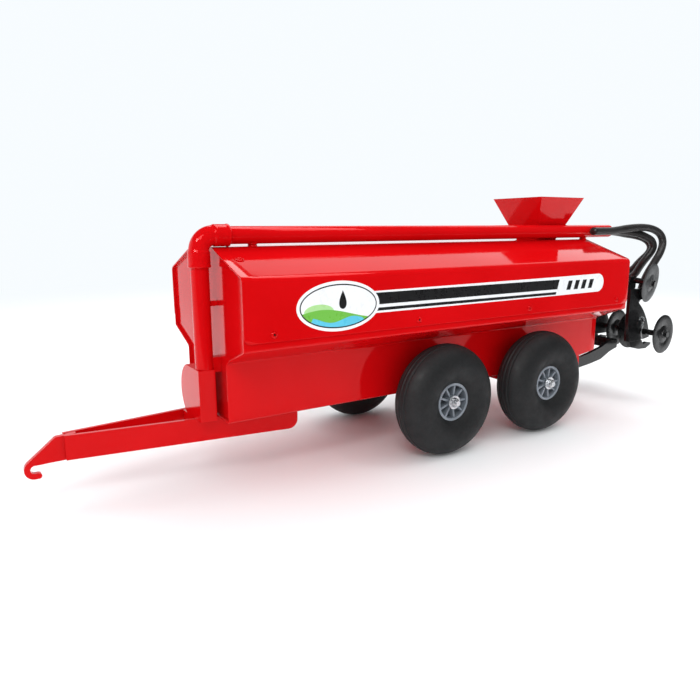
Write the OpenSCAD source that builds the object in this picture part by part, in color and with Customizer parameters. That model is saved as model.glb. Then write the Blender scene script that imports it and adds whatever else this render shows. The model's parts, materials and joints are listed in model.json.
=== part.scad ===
// Toy liquid-manure tanker wagon with an overhead pipe and a rear injector toolbar.
// +X points to the rear, the hitch hook is at -X, +Z is up, and the tyres stand on z = 0.
// Along X, sizes are counted from the front edge of the tank, and every part is then moved
// by x_mid, so that the origin lies under the middle of the whole wagon.

/* [Tank] */
// Length of the tank body
tank_l = 443; // [400:1:520]
// Half width of the flat strip of the roof
roof_half = 25; // [22:0.5:32]
// Half width over the upright sides
side_half = 82; // [74:0.5:98]
// Half width of the narrow lower hull
hull_half = 45.5; // [40:0.5:52]
// Height of the roof above the ground
roof_z = 189.5; // [180:0.5:220]
// Height of the upper bend of the side
shoulder_z = 169; // [155:0.5:176]
// Height of the lower bend of the side
hip_z = 116; // [112:0.5:130]
// Height where the hull starts under the hips
hull_top_z = 102; // [92:0.5:108]
// Height of the underside of the hull
hull_bottom_z = 54; // [54:0.5:66]
// Length of the rising tail of the hull
tail_l = 68; // [50:1:90]
// Rise of the hull's underside over the tail
tail_rise = 10; // [6:0.5:16]
// Sheet thickness of the tank
sheet_t = 1.2; // [0.8:0.1:2]
// Bend radius of the sheet, on the outside
bend_r = 5; // [3:0.5:8]
// Height of the lower edge of the upper cover
cover_edge_z = 122; // [120:0.5:132]
// Height over which the cover laps the lower shell
lap_h = 10; // [6:0.5:14]
// Depth of the end plates behind the rim of the shells
plate_recess = 2.5; // [1.5:0.1:5]
// Thickness of the end plates
plate_t = 2; // [1:0.1:3]
// Rivets along each side
rivet_n = 4; // [3:1:6]
// Radius of a rivet head
rivet_r = 2.3; // [1.5:0.1:3]

/* [Pipe and pump] */
// Outer radius of the pipe
pipe_r = 7; // [6:0.1:8]
// Wall of the pipe
pipe_wall = 1.5; // [1:0.1:2]
// Distance of the pipe from the centre line, to the left
pipe_y = 24; // [18:0.5:30]
// Gap between the roof and the pipe
pipe_gap = 1.8; // [1:0.1:4]
// Distance from the tank's front edge forward to the axis of the riser
riser_ahead = 10; // [9:0.5:14]
// Length of pipe that stands out behind the tank
pipe_overhang = 41; // [30:1:60]
// Wall of the elbow's sockets
socket_wall = 1.5; // [1.2:0.1:3]
// Length of each socket
socket_l = 12; // [8:0.5:16]
// Centre-line radius of the elbow
elbow_r = 12; // [11:0.5:18]
// Radius of the pump's round casing
pump_r = 23; // [18:0.5:28]
// Thickness of the pump casing along the wagon
pump_t = 13.6; // [10:0.2:16]

/* [Hopper] */
// Distance of the hopper's middle behind the tank's front edge
hopper_x = 394; // [360:1:420]
// Distance of the hopper's middle from the centre line, to the right
hopper_y = 5; // [4:0.5:12]
// Width of the square mouth
hopper_mouth = 69; // [50:1:80]
// Width of the square foot
hopper_foot = 30; // [20:1:32]
// Height of the hopper
hopper_h = 45; // [35:1:60]
// Sheet thickness of the hopper
hopper_t = 1.2; // [0.8:0.1:2]

/* [Drawbar] */
// Distance of the rails' front end ahead of the tank
rail_ahead = 112; // [90:1:150]
// Distance of the rails' rear end behind the tank's front edge
rail_behind = 68; // [50:1:90]
// Height of the rails
rail_h = 19; // [16:0.5:22]
// Thickness of the rails
rail_t = 3.2; // [2:0.1:5]
// Half spacing of the rails' inner faces at the rear end
rail_spread = 27; // [20:0.5:36]
// Thickness of the hook plate
hook_t = 4.8; // [3:0.1:6]
// Distance from the rails' front end forward to the middle of the hook
hook_ahead = 21.4; // [16:0.2:30]
// Height of the middle of the hook
hook_z = 31.2; // [28:0.2:34]
// Inner radius of the hook
hook_r = 3.1; // [2.8:0.1:4]
// Width of the hook's stock
hook_w = 4.2; // [3:0.1:6]

/* [Running gear] */
// Outer radius of the tyres
tyre_r = 50.8; // [50.8:0.1:56]
// Radius of the tyre's round section
tyre_section_r = 19; // [15:0.5:21]
// Distance of the wheels' middle planes from the centre line
track_half = 72.8; // [71:0.1:80]
// Distance of the front axle behind the tank's front edge
front_axle_x = 195; // [160:1:210]
// Distance between the axles
axle_gap = 125; // [118:1:150]
// Radius of the hub
hub_r = 17.2; // [14:0.1:18]
// Width of the hub
hub_w = 25; // [20:0.5:30]
// Radius of the axle rods
axle_r = 2.4; // [2:0.1:3]
// Radial clearance of turning parts on their axles
run_gap = 0.05; // [0.02:0.01:0.1]
// End gap beside each turning part
side_gap = 0.4; // [0.3:0.05:0.8]
// Spokes of a hub
spoke_n = 9; // [6:1:12]

/* [Toolbar] */
// Distance of the beam behind the tank's rear edge
beam_behind = 57; // [50:1:80]
// Height of the beam
beam_z = 127; // [118:0.5:140]
// Radius of the beam
beam_r = 4; // [3:0.1:5]
// Distance between the injector units
unit_pitch = 60; // [58:0.5:72]
// Thickness of a unit's shank plate
shank_t = 4; // [3:0.1:6]
// Radius of the discs
disc_r = 22.5; // [18:0.5:23]
// Thickness of the discs
disc_t = 1.6; // [1:0.1:3]
// Sideways distance of a disc's middle from its shank
disc_offset = 20; // [17:0.5:24]
// Height of the lower discs' middles
disc_z = 80.5; // [78:0.5:90]
// Angle of the lower disc axles away from straight sideways
toe_angle = 3.5; // [0:0.5:10]
// The same angle of the two upper discs
upper_toe = 12; // [5:0.5:15]
// Angle by which the upper disc axles slope down outwards
upper_tilt = 7.7; // [0:0.1:10]
// Radius of the disc axles
disc_axle_r = 2; // [1.5:0.1:2.5]
// Height of the lift pivots
pivot_z = 51; // [49:0.5:52]
// Distance of the lift pivots ahead of the tank's rear edge
pivot_ahead = 31; // [20:0.5:34]
// Half spacing of the lift arms at the pivots
arm_spread = 38.5; // [32:0.5:39]
// Thickness of the lift arms
arm_t = 4; // [3:0.1:5]
// Height of the lift arms
arm_h = 12; // [8:0.5:13]

/* [Hoses] */
// Outer radius of the hoses
hose_r = 4.25; // [3:0.05:5]

/* [Hidden] */
$fn = 64;
sides = ["left", "right"];
ends = ["front", "rear"];

red = "firebrick";
black = [0.12, 0.12, 0.12];
zinc = [0.75, 0.76, 0.78];
eps = 0.01;

pipe_z = roof_z + pipe_gap + pipe_r;
socket_r = pipe_r + socket_wall;
pipe_end_x = tank_l + pipe_overhang;
beam_x = tank_l + beam_behind;
pivot_x = tank_l - pivot_ahead;
disc_x = beam_x + 19;
upper_disc_x = beam_x + 11;
upper_disc_z = beam_z + 12;
hook_x = -rail_ahead - hook_ahead;
hook_out_r = hook_r + hook_w;

// The wagon reaches from the hook's outer edge to the hoses' rearmost bulge.
hose_bulge_x = beam_x + 52;
x_front = hook_x - hook_out_r;
x_rear = hose_bulge_x + hose_r;
x_mid = (x_front + x_rear) / 2;

axle_xs = [front_axle_x, front_axle_x + axle_gap];
hub_in_y = track_half - hub_w / 2;
hub_out_y = track_half + hub_w / 2;

// ---- helpers ----

// Points on an arc of radius r about [cx, cz], from angle a0 to a1 in n steps.
function arc(cx, cz, r, a0, a1, n) =
  [for (i = [0:n]) let (a = a0 + (a1 - a0) * i / n) [cx + r * cos(a), cz + r * sin(a)]];

function unit2(v) = v / norm(v);

// One bend of radius r at corner p between neighbours a and b, as an arc of points.
function bend(a, p, b, r, n = 4) =
  let (
    u = unit2(a - p), v = unit2(b - p),
    half = acos(u * v) / 2,
    reach = r / tan(half),
    c = p + unit2(u + v) * (r / sin(half)),
    s = p + u * reach - c, e = p + v * reach - c,
    a0 = atan2(s[1], s[0]), a1 = atan2(e[1], e[0]),
    turn = a1 - a0 > 180 ? a1 - a0 - 360 : a1 - a0 < -180 ? a1 - a0 + 360 : a1 - a0
  )
  [for (i = [0:n]) c + r * [cos(a0 + turn * i / n), sin(a0 + turn * i / n)]];

// A path whose inner corners are bent to radius r.
function bent(path, r) = [
  for (i = [0:len(path) - 1])
    each (i == 0 || i == len(path) - 1 ? [path[i]] : bend(path[i - 1], path[i], path[i + 1], r))
];

function mirror_y(path) = [for (i = [len(path) - 1:-1:0]) [-path[i][0], path[i][1]]];

// Moves a [y, z] section from the drawing plane onto the wagon and makes it l long from x.
module along_x(x, l) translate([x, 0, 0]) rotate([90, 0, 90]) linear_extrude(l) children();

// Moves an [x, z] outline onto the wagon, t thick about y.
module plate_y(y, t) translate([0, y + t / 2, 0]) rotate([90, 0, 0]) linear_extrude(t) children();

// A rod along Y from y0 to y1.
module rod_y(x, z, r, y0, y1)
  translate([x, min(y0, y1), z]) rotate([-90, 0, 0]) cylinder(r = r, h = abs(y1 - y0));

// A solid tube of radius r swept along the route's points, with k sides.
module swept_tube(route, r, k = 10) {
  n = len(route);
  tangents = [for (i = [0:n - 1])
    let (d = route[min(i + 1, n - 1)] - route[max(i - 1, 0)]) d / norm(d)];
  rings = [for (i = [0:n - 1])
    let (c = cross(tangents[i], [0, 1, 0]), u = c / norm(c), v = cross(tangents[i], u))
    each [for (j = [0:k - 1]) route[i] + r * (u * cos(360 * j / k) + v * sin(360 * j / k))]];
  skin = [for (i = [0:n - 2]) for (j = [0:k - 1])
    each [[i * k + j, (i + 1) * k + j, i * k + (j + 1) % k],
          [i * k + (j + 1) % k, (i + 1) * k + j, (i + 1) * k + (j + 1) % k]]];
  caps = [[for (j = [0:k - 1]) j], [for (j = [k - 1:-1:0]) (n - 1) * k + j]];
  polyhedron(rings, concat(skin, caps));
}

module placed(tint) color(tint) translate([-x_mid, 0, 0]) children();

// ---- tank ----

// Half of the cover's section, from the lower edge up to the roof, inset by t from outside.
function cover_half(t) =
  let (k = tan(atan2(roof_z - shoulder_z, side_half - roof_half) / 2))
  [[side_half - t, cover_edge_z], [side_half - t, shoulder_z - t * k], [roof_half - t * k, roof_z - t]];

// Half of the lower shell's section, from the lap down to the underside, inset by t.
function shell_half(t) = [
  [side_half - sheet_t - t, cover_edge_z + lap_h],
  [side_half - sheet_t - t, hip_z + t * 0.3],
  [hull_half - t, hull_top_z + t * 0.3],
  [hull_half - t, hull_bottom_z + t]
];

module upper_cover() placed(red) along_x(0, tank_l) {
  outer = bent(concat(cover_half(0), mirror_y(cover_half(0))), bend_r);
  inner = bent(concat(cover_half(sheet_t), mirror_y(cover_half(sheet_t))), bend_r - sheet_t);
  polygon(concat(outer, [for (i = [len(inner) - 1:-1:0]) inner[i]]));
}

// The lower shell's section filled in, with the underside rising towards the tail.
module shell_solid(t, x0, l) {
  difference() {
    along_x(x0, l) polygon(bent(concat(shell_half(t), mirror_y(shell_half(t))), 2));
    translate([tank_l - tail_l, -side_half, hull_bottom_z + t])
      rotate([0, -atan2(tail_rise, tail_l), 0])
        translate([-tail_l, 0, -2 * tail_rise]) cube([3 * tail_l, 2 * side_half, 2 * tail_rise]);
  }
}

module lower_shell() placed(red) difference() {
  shell_solid(0, 0, tank_l);
  shell_solid(sheet_t, -1, tank_l + 2);
  translate([-1, -side_half, cover_edge_z + lap_h - eps]) cube([tank_l + 2, 2 * side_half, 10]);
}

// An end plate fills the space inside the cover and the shell.
module end_plate(x) {
  upper = cover_half(sheet_t);
  top_start = [[upper[0][0], cover_edge_z + lap_h], upper[1], upper[2]];
  intersection() {
    union() {
      shell_solid(sheet_t, x, plate_t);
      along_x(x, plate_t) polygon(bent(concat(top_start, mirror_y(top_start)), bend_r - sheet_t));
    }
    translate([x, -side_half, 0]) cube([plate_t, 2 * side_half, roof_z]);
  }
}

module front_plate() placed(red) end_plate(plate_recess);
module rear_plate() placed(red) end_plate(tank_l - plate_recess - plate_t);

rivet_z = cover_edge_z + 5.5;
rivet_inset = 23.5;
module cover_rivets() placed(red)
  for (s = [-1, 1], i = [0:rivet_n - 1])
    translate([rivet_inset + (tank_l - rivet_inset - 19) * i / (rivet_n - 1), s * side_half, rivet_z])
      rotate([s * -90, 0, 0]) cylinder(r1 = rivet_r, r2 = rivet_r * 0.6, h = 1);

// ---- pipe, pump and hopper ----

pipe_start_x = elbow_r - riser_ahead;
cap_l = 6;
module pipe_bore(l) translate([0, 0, -1]) cylinder(r = pipe_r - pipe_wall, h = l + 2);

module overhead_pipe() placed(red) {
  l = pipe_end_x - cap_l - pipe_start_x;
  translate([pipe_start_x, -pipe_y, pipe_z]) rotate([0, 90, 0]) difference() {
    cylinder(r = pipe_r, h = l);
    pipe_bore(l);
  }
}

module pipe_end_cap() placed(red)
  translate([pipe_end_x - cap_l, -pipe_y, pipe_z]) rotate([0, 90, 0]) rotate_extrude()
    polygon([[0, 0], [pipe_r, 0], [pipe_r, cap_l - 2], [pipe_r - 2, cap_l], [0, cap_l]]);

pump_top_z = hull_bottom_z + 41.5;
riser_top_z = pipe_z - elbow_r;
module riser_pipe() placed(red) {
  l = riser_top_z - pump_top_z;
  translate([-riser_ahead, -pipe_y, pump_top_z]) difference() {
    cylinder(r = pipe_r, h = l);
    pipe_bore(l);
  }
}

module elbow_socket() difference() {
  cylinder(r = socket_r, h = socket_l);
  translate([0, 0, -1]) cylinder(r = pipe_r + run_gap, h = socket_l + 2);
}

module pipe_elbow() placed(red) {
  translate([pipe_start_x, -pipe_y, pipe_z]) rotate([0, 90, 0]) elbow_socket();
  translate([-riser_ahead, -pipe_y, riser_top_z - socket_l]) elbow_socket();
  translate([pipe_start_x, -pipe_y, riser_top_z]) rotate([90, 0, 0]) rotate([0, 0, 90])
    rotate_extrude(angle = 90) translate([elbow_r, 0]) difference() {
      circle(r = socket_r - 0.5);
      circle(r = pipe_r - pipe_wall);
    }
}

saddle_xs = [34, tank_l - 5];
module pipe_saddles() placed(red)
  for (x = saddle_xs)
    difference() {
      translate([x, -pipe_y, roof_z]) cylinder(r = 2.8, h = pipe_gap + 2);
      translate([x - 5, -pipe_y, pipe_z]) rotate([0, 90, 0]) cylinder(r = pipe_r, h = 10);
    }

// Each tie is [height, thickness, width] between the riser and the front plate.
riser_tie_sizes = [[pipe_z - 51.7, 4, 5], [pump_top_z + 3, 12, 8]];
module riser_ties() placed(red)
  for (tie = riser_tie_sizes)
    difference() {
      translate([-riser_ahead, -pipe_y - tie[2] / 2, tie[0] - tie[1] / 2])
        cube([riser_ahead + plate_recess, tie[2], tie[1]]);
      translate([-riser_ahead, -pipe_y, pump_top_z]) cylinder(r = pipe_r, h = 140);
      translate([-riser_ahead - 20, -50, 0]) cube([19.25 + pump_t / 2, 60, pump_top_z]);
    }

// The casing is a round volute with a square outlet neck under the riser, on a block
// that stands between the rails.
pump_cy = pump_r - 31;
pump_block_h = 8;
module pump_housing() placed(red) {
  pump_cz = hull_bottom_z + 20;
  translate([-riser_ahead - 0.75 - pump_t / 2, -13.5, hull_bottom_z - pump_block_h])
    cube([pump_t, 27, pump_block_h]);
  along_x(-riser_ahead - 0.75 - pump_t / 2, pump_t) intersection() {
    union() {
      translate([pump_cy, pump_cz]) circle(r = pump_r);
      translate([-pipe_y - pipe_r, hull_bottom_z])
        square([pipe_y + pipe_r + pump_cy, pump_top_z - hull_bottom_z]);
    }
    translate([-60, hull_bottom_z]) square([120, pump_top_z - hull_bottom_z]);
  }
}

module funnel(mouth, foot, h) {
  polyhedron(
    [for (k = [[foot, 0], [mouth, h]]) for (c = [[-1, -1], [1, -1], [1, 1], [-1, 1]])
      [c[0] * k[0] / 2, c[1] * k[0] / 2, k[1]]],
    [[0, 1, 2, 3], [7, 6, 5, 4], [0, 4, 5, 1], [1, 5, 6, 2], [2, 6, 7, 3], [3, 7, 4, 0]]
  );
}

module hopper() placed(red) translate([hopper_x, hopper_y, roof_z]) {
  slope = (hopper_mouth - hopper_foot) / hopper_h;
  inner_foot = hopper_foot - 2 * hopper_t + slope * hopper_t;
  difference() {
    funnel(hopper_mouth, hopper_foot, hopper_h);
    translate([0, 0, hopper_t])
      funnel(inner_foot + slope * (hopper_h + 1), inner_foot, hopper_h + 1);
  }
}

// ---- drawbar ----

rail_run = rail_ahead + rail_behind;
rail_angle = atan2(rail_spread - hook_t / 2, rail_run);
rail_l = rail_run / cos(rail_angle);
rail_bottom_z = hull_bottom_z - rail_h;

// Side 1 is the left rail, at -Y, and -1 the right one.
module drawbar_rail(s) placed(red)
  translate([-rail_ahead, -s * hook_t / 2, 0]) rotate([0, 0, -s * rail_angle])
    plate_y(-s * rail_t / 2, rail_t)
      polygon(concat(
        [[0, hull_bottom_z], [0, rail_bottom_z]],
        arc(rail_l - 8, rail_bottom_z + 8, 8, -90, 0, 5),
        [[rail_l, hull_bottom_z]]
      ));

// The hook's neck slopes down and forward into a round hook that opens to the rear.
module hook_plate() placed(red) {
  tip_x = hook_x + 2.2;
  plate_y(0, hook_t) difference() {
    union() {
      translate([hook_x, hook_z]) circle(r = hook_out_r);
      polygon([
        [-rail_ahead + 8, hull_bottom_z], [-rail_ahead - 6, hull_bottom_z - 0.8],
        [hook_x + hook_out_r * cos(128), hook_z + hook_out_r * sin(128)],
        [hook_x, hook_z + hook_r], [-rail_ahead + 8, hook_z + hook_r + 0.5]
      ]);
    }
    translate([hook_x, hook_z]) circle(r = hook_r);
    translate([hook_x, hook_z - hook_r]) square([30, 2 * hook_r]);
    translate([tip_x, hook_z - 2 * hook_out_r]) square([30, 2 * hook_out_r + hook_r]);
  }
  plate_y(0, hook_t) translate([tip_x, hook_z - hook_r - hook_w / 2]) circle(r = hook_w / 2);
}

// ---- running gear ----

beam_w = 16;
beam_drop = 11;
axle_z = tyre_r;
spacer_gap = 0.3;

module axle_beam(i) placed(red) difference() {
  translate([axle_xs[i] - beam_w / 2, -hull_half, hull_bottom_z - beam_drop])
    cube([beam_w, 2 * hull_half, beam_drop]);
  rod_y(axle_xs[i], axle_z, axle_r + run_gap, -hull_half - 1, hull_half + 1);
}

washer_t = 1.2;
washer_r = 6.2;
nut_t = 4;
nut_flat_r = 4.2;
stack_y = hub_out_y + side_gap;

module axle_rod(i) placed(zinc)
  rod_y(axle_xs[i], axle_z, axle_r, -stack_y - washer_t - nut_t - 0.8, stack_y + washer_t + nut_t + 0.8);

// A ring on both ends of both axles, from distance y0 to y1 off the centre line.
module on_axle_ends(y0, y1, r, sides_n = 64)
  for (x = axle_xs, s = [-1, 1])
    difference() {
      translate([x, s > 0 ? y0 : -y1, axle_z]) rotate([-90, 0, 0]) cylinder(r = r, h = y1 - y0, $fn = sides_n);
      rod_y(x, axle_z, axle_r + run_gap, s * (y0 - 1), s * (y1 + 1));
    }

module axle_spacers() placed(zinc) on_axle_ends(hull_half + spacer_gap, hub_in_y - side_gap, 4.2);
module axle_washers() placed(zinc) on_axle_ends(stack_y, stack_y + washer_t, washer_r);
module axle_nuts() placed(zinc) on_axle_ends(stack_y + washer_t, stack_y + washer_t + nut_t, nut_flat_r, 6);

// Puts a wheel part on axle i at side s, where -1 is the left side.
module at_wheel(i, s) translate([axle_xs[i], s * track_half, axle_z]) rotate([90, 0, 0]) children();

groove_n = 3;
module tyre(i, s) placed(black) at_wheel(i, s) rotate_extrude($fn = 96) difference() {
  translate([tyre_r - tyre_section_r, 0]) circle(r = tyre_section_r);
  translate([0, -tyre_section_r]) square([hub_r, 2 * tyre_section_r]);
  for (k = [0:groove_n - 1])
    translate([tyre_r - 0.9, (k - (groove_n - 1) / 2) * 5 - 0.4]) square([2, 0.8]);
}

hub_rim_t = 2.2;
hub_boss_r = 5.5;
hub_web_t = 5;
module hub(i, s) placed([0.45, 0.46, 0.5]) at_wheel(i, s) difference() {
  union() {
    rotate_extrude() translate([hub_r - hub_rim_t, -hub_w / 2]) square([hub_rim_t, hub_w]);
    translate([0, 0, -hub_web_t / 2]) cylinder(r = hub_r - hub_rim_t / 2, h = hub_web_t);
    translate([0, 0, -hub_w / 2]) cylinder(r = hub_boss_r, h = hub_w);
    for (k = [0:spoke_n - 1])
      rotate([0, 0, 360 * k / spoke_n]) translate([hub_boss_r - 1, -0.9, -hub_w / 2 + 1.5])
        cube([hub_r - hub_rim_t / 2 - hub_boss_r + 1, 1.8, hub_w - 3]);
  }
  translate([0, 0, -hub_w]) cylinder(r = axle_r + run_gap, h = 2 * hub_w);
}

// ---- toolbar lift ----

pin_r = 2;
lug_t = 2.6;
lug_half = 8;
function tail_z(x) = hull_bottom_z + max(0, x - tank_l + tail_l) * tail_rise / tail_l;
pivot_ys = [for (s = [-1, 1]) s * arm_spread];

module lift_lugs() placed(red)
  for (y = pivot_ys, s = [-1, 1])
    difference() {
      plate_y(y + s * (arm_t / 2 + side_gap + lug_t / 2), lug_t) polygon([
        [pivot_x - lug_half, pivot_z - 5], [pivot_x + lug_half, pivot_z - 5],
        [pivot_x + lug_half, tail_z(pivot_x + lug_half)],
        [pivot_x - lug_half, tail_z(pivot_x - lug_half)]
      ]);
      rod_y(pivot_x, pivot_z, pin_r + run_gap, y - 20, y + 20);
    }

pin_reach = arm_t / 2 + side_gap + lug_t + 1;
module lift_pins() placed(zinc)
  for (y = pivot_ys) {
    rod_y(pivot_x, pivot_z, pin_r, y - pin_reach, y + pin_reach);
    for (s = [-1, 1]) rod_y(pivot_x, pivot_z, pin_r + 1.4, y + s * (pin_reach - 1), y + s * (pin_reach + 1));
  }

// The arms end at a tie bar that runs across, just ahead of the mast.
tie_x = beam_x - 17;
tie_w = 10;
tie_z = disc_z - 14;
arm_end_x = tie_x + tie_w;

// Along an arm: the share of its length, the share of its rise, and its half height.
arm_shape = [[0, 0, 6], [0.17, 0, 6], [0.395, 0.16, 6.5], [0.64, 0.42, 7.2], [0.84, 0.87, 6.5], [1, 1, 5]];
function arm_edge(side) = [
  for (k = arm_shape)
    [pivot_x + k[0] * (arm_end_x - pivot_x), pivot_z + k[1] * (tie_z - pivot_z) + side * k[2] * arm_h / 12]
];
module lift_arm(s) placed(black) difference() {
  top = arm_edge(1);
  y0 = -s * (arm_spread - arm_t / 2);
  y1 = -s * (arm_spread + arm_t / 2);
  union() {
    plate_y(-s * arm_spread, arm_t) polygon(concat(arm_edge(-1), [for (i = [len(top) - 1:-1:0]) top[i]]));
    rod_y(pivot_x, pivot_z, arm_h / 2, y0, y1);
  }
  rod_y(pivot_x, pivot_z, pin_r + run_gap, y0 + s * 5, y1 - s * 5);
}

// The tie bar is in two halves, which meet the centre unit's foot from both sides.
module lift_tie() placed(black)
  for (s = [-1, 1])
    translate([tie_x, s > 0 ? shank_t / 2 : -arm_spread + arm_t / 2, tie_z - 5])
      cube([tie_w, arm_spread - arm_t / 2 - shank_t / 2, 10]);

mast_w = 12;
module toolbar_mast() placed(black) difference() {
  translate([arm_end_x, shank_t / 2, tie_z - 5]) cube([mast_w, shank_t, beam_z + beam_r + 4 - tie_z + 5]);
  rod_y(beam_x, beam_z, beam_r, -20, 20);
}

beam_half = unit_pitch + shank_t / 2;
module toolbar_beam() placed(black) rod_y(beam_x, beam_z, beam_r, -beam_half, beam_half);

// ---- injector units ----

unit_ys = [for (k = [-1:1]) k * unit_pitch];
// Side of each unit's rounded rear plate: 1 is towards +Y.
sector_sides = [1, -1, -1];
sector_t = 3;
bolt_spot = [beam_x - 3.6, disc_z + 11.2];
bolt_r = 2;

// A shank is a leg that hangs from the beam, with a thinner rounded plate beside its rear edge.
module shank(k) placed(black) difference() {
  y = unit_ys[k];
  union() {
    plate_y(y, shank_t) polygon([
      [beam_x - 21, beam_z + 6], [beam_x + 6, beam_z + 6], [beam_x + 6, beam_z - 5.5],
      [beam_x - 4, beam_z - 8], [beam_x - 0.5, disc_z + 19.5], [beam_x - 0.5, disc_z + 7.5],
      [beam_x + 4, disc_z - 2.5], [beam_x + 7, disc_z - 8.5], [beam_x - 16, disc_z - 8.5],
      [beam_x - 21, disc_z + 14.5]
    ]);
    plate_y(y + sector_sides[k] * (shank_t + sector_t) / 2, sector_t) polygon(concat(
      arc(beam_x - 38, disc_z - 19, 68, 60, 10, 12),
      [[beam_x + 19.5, disc_z - 8.8], [beam_x - 16, disc_z - 8.5],
       [beam_x - 16, beam_z - 17], [beam_x - 10, beam_z - 8]]
    ));
  }
  rod_y(beam_x, beam_z, beam_r, y - 10, y + 10);
  rod_y(bolt_spot[0], bolt_spot[1], bolt_r + 0.05, y - 10, y + 10);
}

module shank_feet() placed(black)
  for (y = unit_ys)
    plate_y(y, shank_t) polygon([
      [beam_x - 16, disc_z - 8.5], [beam_x + 8, disc_z - 8.5], [beam_x + 12, disc_z - 14],
      [beam_x + 19.5, disc_z - 12], [beam_x + 27, disc_z - 13.5], [beam_x + 26.5, disc_z - 15.5],
      [beam_x + 17.5, disc_z - 19.5], [beam_x + 3, disc_z - 19], [beam_x - 12, disc_z - 15.5]
    ]);

// The centre unit's bolt ends flush in the leg, where the mast stands.
bolt_head_t = 2.5;
module shank_bolts() placed(black)
  for (k = [0:2]) {
    q = sector_sides[k];
    leg_y = unit_ys[k] - q * shank_t / 2;
    sector_y = unit_ys[k] + q * (shank_t / 2 + sector_t);
    rod_y(bolt_spot[0], bolt_spot[1], bolt_r, leg_y, sector_y);
    rod_y(bolt_spot[0], bolt_spot[1], 4.5, sector_y, sector_y + q * bolt_head_t);
    if (k != 1) rod_y(bolt_spot[0], bolt_spot[1], 4.5, leg_y, leg_y - q * bolt_head_t);
  }

spring_spot = [beam_x + 6.5, disc_z + 14];
module shank_springs() placed(zinc)
  for (k = [0:2]) {
    q = sector_sides[k];
    y0 = unit_ys[k] + q * shank_t / 2;
    difference() {
      rod_y(spring_spot[0], spring_spot[1], 5.6, y0, y0 - q * 3.7);
      rod_y(spring_spot[0], spring_spot[1], 3.6, y0 + q, y0 - q * 5);
    }
  }

socket_side = 11;
hose_socket_l = 12;
socket_foot = [beam_x + 7, beam_z - 13];
socket_lean = atan2(0.6, 0.8);
module hose_sockets() placed(black)
  for (k = [0:2]) {
    q = sector_sides[k];
    y = unit_ys[k] + q * socket_side;
    face_y = unit_ys[k] + q * (shank_t / 2 + sector_t);
    translate([socket_foot[0], y, socket_foot[1]]) rotate([0, socket_lean, 0])
      cylinder(r = hose_r + 0.6, h = hose_socket_l);
    translate([socket_foot[0] - 9, min(face_y, y - q * 2), socket_foot[1] - 5])
      cube([9, abs(y - q * 2 - face_y), 6]);
  }

// Disc spots are [y, side, x, z, toe, tilt], where side is -1 for an axle that points left.
lower_spots = [for (y = unit_ys, s = [-1, 1]) [y + s * disc_offset, s, disc_x, disc_z, toe_angle, 0]];
upper_spots = [for (s = [-1, 1]) [s * (unit_pitch + 4), s, upper_disc_x, upper_disc_z, upper_toe, upper_tilt]];

// Puts a disc's frame at a spot: its +Z points out along the axle.
module at_disc(spot) translate([spot[2], spot[0], spot[3]])
  rotate([0, 0, spot[1] * (90 - spot[4])]) rotate([0, 90 + spot[5], 0]) children();

disc_boss_r = 5;
disc_boss_h = 4;
module disc(spot) placed(black) at_disc(spot) difference() {
  union() {
    cylinder(r = disc_r, h = disc_t);
    translate([0, 0, -disc_boss_h / 2]) cylinder(r = disc_boss_r, h = disc_boss_h + disc_t);
  }
  translate([0, 0, -10]) cylinder(r = disc_axle_r + run_gap, h = 20);
}

axle_nub = 2.4;
// An axle carries its disc between a collar and a nut.
module disc_axle(spot, l) at_disc(spot) {
  top = disc_t + disc_boss_h / 2 + side_gap;
  translate([0, 0, -l]) cylinder(r = disc_axle_r, h = l + top + axle_nub);
  translate([0, 0, top]) cylinder(r = 3.6, h = axle_nub, $fn = 6);
  translate([0, 0, -l]) cylinder(r = 3.4, h = l - disc_boss_h / 2 - side_gap);
}

// The lower axles' inner ends are cut flush with the rounded plates.
module disc_axles() placed(black)
  for (k = [0:2], s = [-1, 1]) {
    q = sector_sides[k];
    reach = disc_offset + (s == q ? -shank_t / 2 - sector_t : shank_t / 2) + 1;
    difference() {
      disc_axle(lower_spots[2 * k + (s + 1) / 2], reach);
      translate([0, unit_ys[k] + q * (shank_t + sector_t) / 2 - sector_t / 2, 0]) cube([beam_x + 60, sector_t, 200]);
    }
  }

arm_y = unit_pitch - 14;
upper_arm_foot = beam_r + 1.5;
upper_arm_shape = [
  [-6, -upper_arm_foot], [upper_arm_foot - 0.3, -upper_arm_foot], [upper_arm_foot - 0.3, 0.5],
  [9, 6], [9, 19], [-1, 19], [-6, 8]
];
module upper_disc_arms() placed(black)
  for (s = [-1, 1])
    difference() {
      union() {
        plate_y(s * arm_y, 4) polygon([for (p = upper_arm_shape) [beam_x + p[0], beam_z + p[1]]]);
        disc_axle(upper_spots[(s + 1) / 2], 18);
      }
      rod_y(beam_x, beam_z, beam_r, -100, 100);
    }

// ---- hoses ----

side_hose_y = pipe_r + hose_r + 0.45;
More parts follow.
